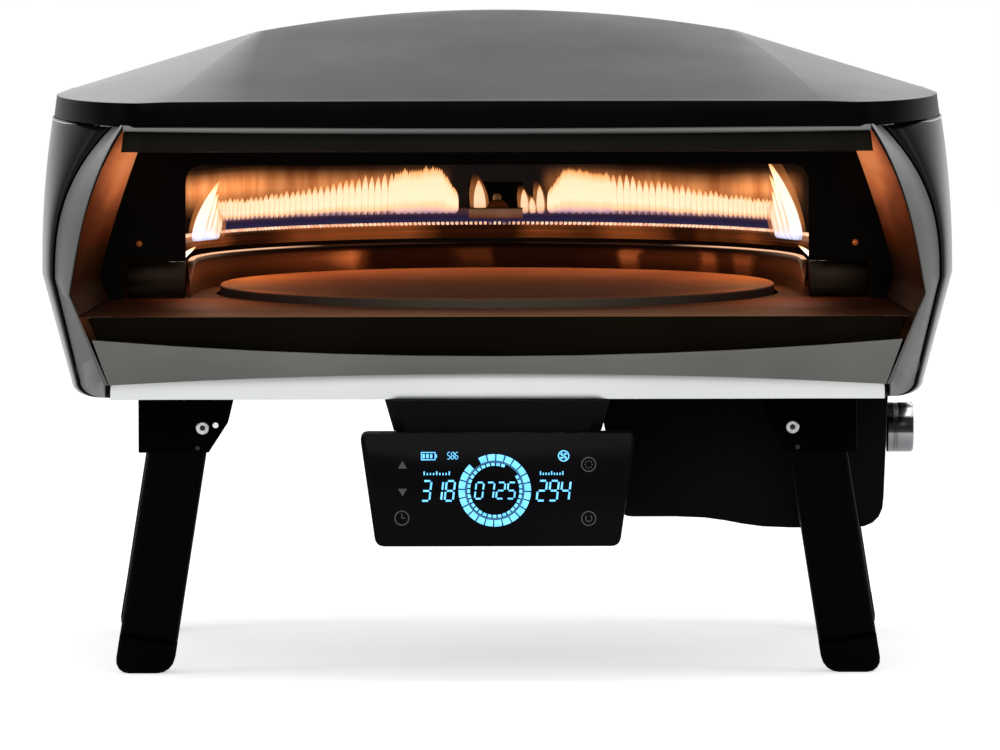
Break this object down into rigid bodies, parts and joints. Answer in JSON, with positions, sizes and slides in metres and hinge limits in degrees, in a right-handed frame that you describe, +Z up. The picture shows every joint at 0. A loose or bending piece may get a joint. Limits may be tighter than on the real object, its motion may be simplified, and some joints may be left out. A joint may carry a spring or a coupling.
{
  "type": "portable pizza oven",
  "caption": "Portable gas pizza oven with a faceted black cover, wide glowing mouth, turning round stone, horseshoe burner, hanging digital display, side knob and folding splayed legs.",
  "frame": {"origin": "on the ground under the middle of the body, level with the soles of the feet", "axes": "+X to the right seen from the front, +Y to the back, +Z up; the mouth faces -Y"},
  "size_m": [0.661, 0.604, 0.4737],
  "materials": {
    "cover_paint": "gloss black",
    "shell_paint": "gloss black",
    "frame_grey": "satin grey",
    "chin_grey": "satin dark grey",
    "tray_steel": "bright satin",
    "liner_steel": "heat-tinted satin",
    "heat_black": "matt black heat paint",
    "insulation": "mineral wool",
    "stone": "matt baked stone",
    "dark_steel": "dark satin",
    "bright_steel": "bright",
    "knob_chrome": "polished",
    "brass": "machined",
    "ceramic": "glazed white",
    "black_plastic": "fine matt texture",
    "leg_black": "satin black",
    "bracket_black": "satin black",
    "display_glass": "gloss black window",
    "board": "circuit board",
    "battery": "satin wrap",
    "foot_rubber": "matt"
  },
  "bodies": {
    "oven": {"top_cover": "cover_paint", "side_shell_left": "shell_paint", "side_shell_right": "shell_paint", "rear_panel": "shell_paint", "base_tray": "tray_steel", "mouth_frame_left": "frame_grey", "mouth_frame_right": "frame_grey", "mouth_frame_top": "frame_grey", "chin_panel": "chin_grey", "mouth_cheek_left": "liner_steel", "mouth_cheek_right": "liner_steel", "mouth_header": "heat_black", "floor_apron": "heat_black", "oven_floor": "liner_steel", "chamber_wall": "liner_steel", "chamber_roof": "liner_steel", "chamber_arch": "heat_black", "wall_insulation": "insulation", "roof_insulation": "insulation", "shaft_bush": "brass", "gear_motor": "dark_steel", "burner_tube": "dark_steel", "burner_box_left": "dark_steel", "burner_box_right": "dark_steel", "flame_guard": "liner_steel", "igniter_bracket": "dark_steel", "igniter": "ceramic", "flame_probe": "bright_steel", "gas_pipe": "bright_steel", "display_arm": "black_plastic", "display_shell": "black_plastic", "display_board": "board", "display_glass": "display_glass", "control_housing": "black_plastic", "battery_pack": "battery", "gas_valve": "brass", "gas_inlet": "brass", "leg_bracket_front_left": "bracket_black", "pivot_bolt_front_left": "bright_steel", "leg_bracket_front_right": "bracket_black", "pivot_bolt_front_right": "bright_steel", "leg_bracket_rear_left": "bracket_black", "pivot_bolt_rear_left": "bright_steel", "leg_bracket_rear_right": "bracket_black", "pivot_bolt_rear_right": "bright_steel"},
    "turntable": {"pizza_stone": "stone", "stone_carrier": "dark_steel", "turntable_shaft": "bright_steel"},
    "knob_press": {"knob_slider": "bright_steel"},
    "knob": {"valve_spindle": "bright_steel", "control_knob": "knob_chrome"},
    "battery_hatch": {"battery_door": "black_plastic"},
    "folding_leg_front_left": {"leg_front_left": "leg_black", "leg_foot_front_left": "foot_rubber"},
    "folding_leg_front_right": {"leg_front_right": "leg_black", "leg_foot_front_right": "foot_rubber"},
    "folding_leg_rear_left": {"leg_rear_left": "leg_black", "leg_foot_rear_left": "foot_rubber"},
    "folding_leg_rear_right": {"leg_rear_right": "leg_black", "leg_foot_rear_right": "foot_rubber"}
  },
  "joints": [
    {"name": "turntable_spin", "type": "hinge", "parent": "oven", "child": "turntable", "pos_m": [0, 0.02, 0.25], "axis": [0, 0, 1], "continuous": true},
    {"name": "knob_push", "type": "slide", "parent": "oven", "child": "knob_press", "axis": [-1, 0, 0], "range_m": [0, 0.0025], "stiffness_N_per_m": 1200},
    {"name": "knob_turn", "type": "hinge", "parent": "knob_press", "child": "knob", "pos_m": [0.295, 0, 0.1645], "axis": [1, 0, 0], "range_deg": [0, 210]},
    {"name": "battery_door_hinge", "type": "hinge", "parent": "oven", "child": "battery_hatch", "pos_m": [0.149, 0.133, 0.1171], "axis": [-1, 0, 0], "range_deg": [0, 105]},
    {"name": "leg_fold_front_left", "type": "hinge", "parent": "oven", "child": "folding_leg_front_left", "pos_m": [-0.2134, -0.19, 0.179], "axis": [0, -1, 0], "range_deg": [0, 98]},
    {"name": "leg_fold_front_right", "type": "hinge", "parent": "oven", "child": "folding_leg_front_right", "pos_m": [0.2134, -0.19, 0.179], "axis": [0, 1, 0], "range_deg": [0, 98]},
    {"name": "leg_fold_rear_left", "type": "hinge", "parent": "oven", "child": "folding_leg_rear_left", "pos_m": [-0.2204, 0.19, 0.179], "axis": [0, -1, 0], "range_deg": [0, 98]},
    {"name": "leg_fold_rear_right", "type": "hinge", "parent": "oven", "child": "folding_leg_rear_right", "pos_m": [0.2204, 0.19, 0.179], "axis": [0, 1, 0], "range_deg": [0, 98]}
  ]
}
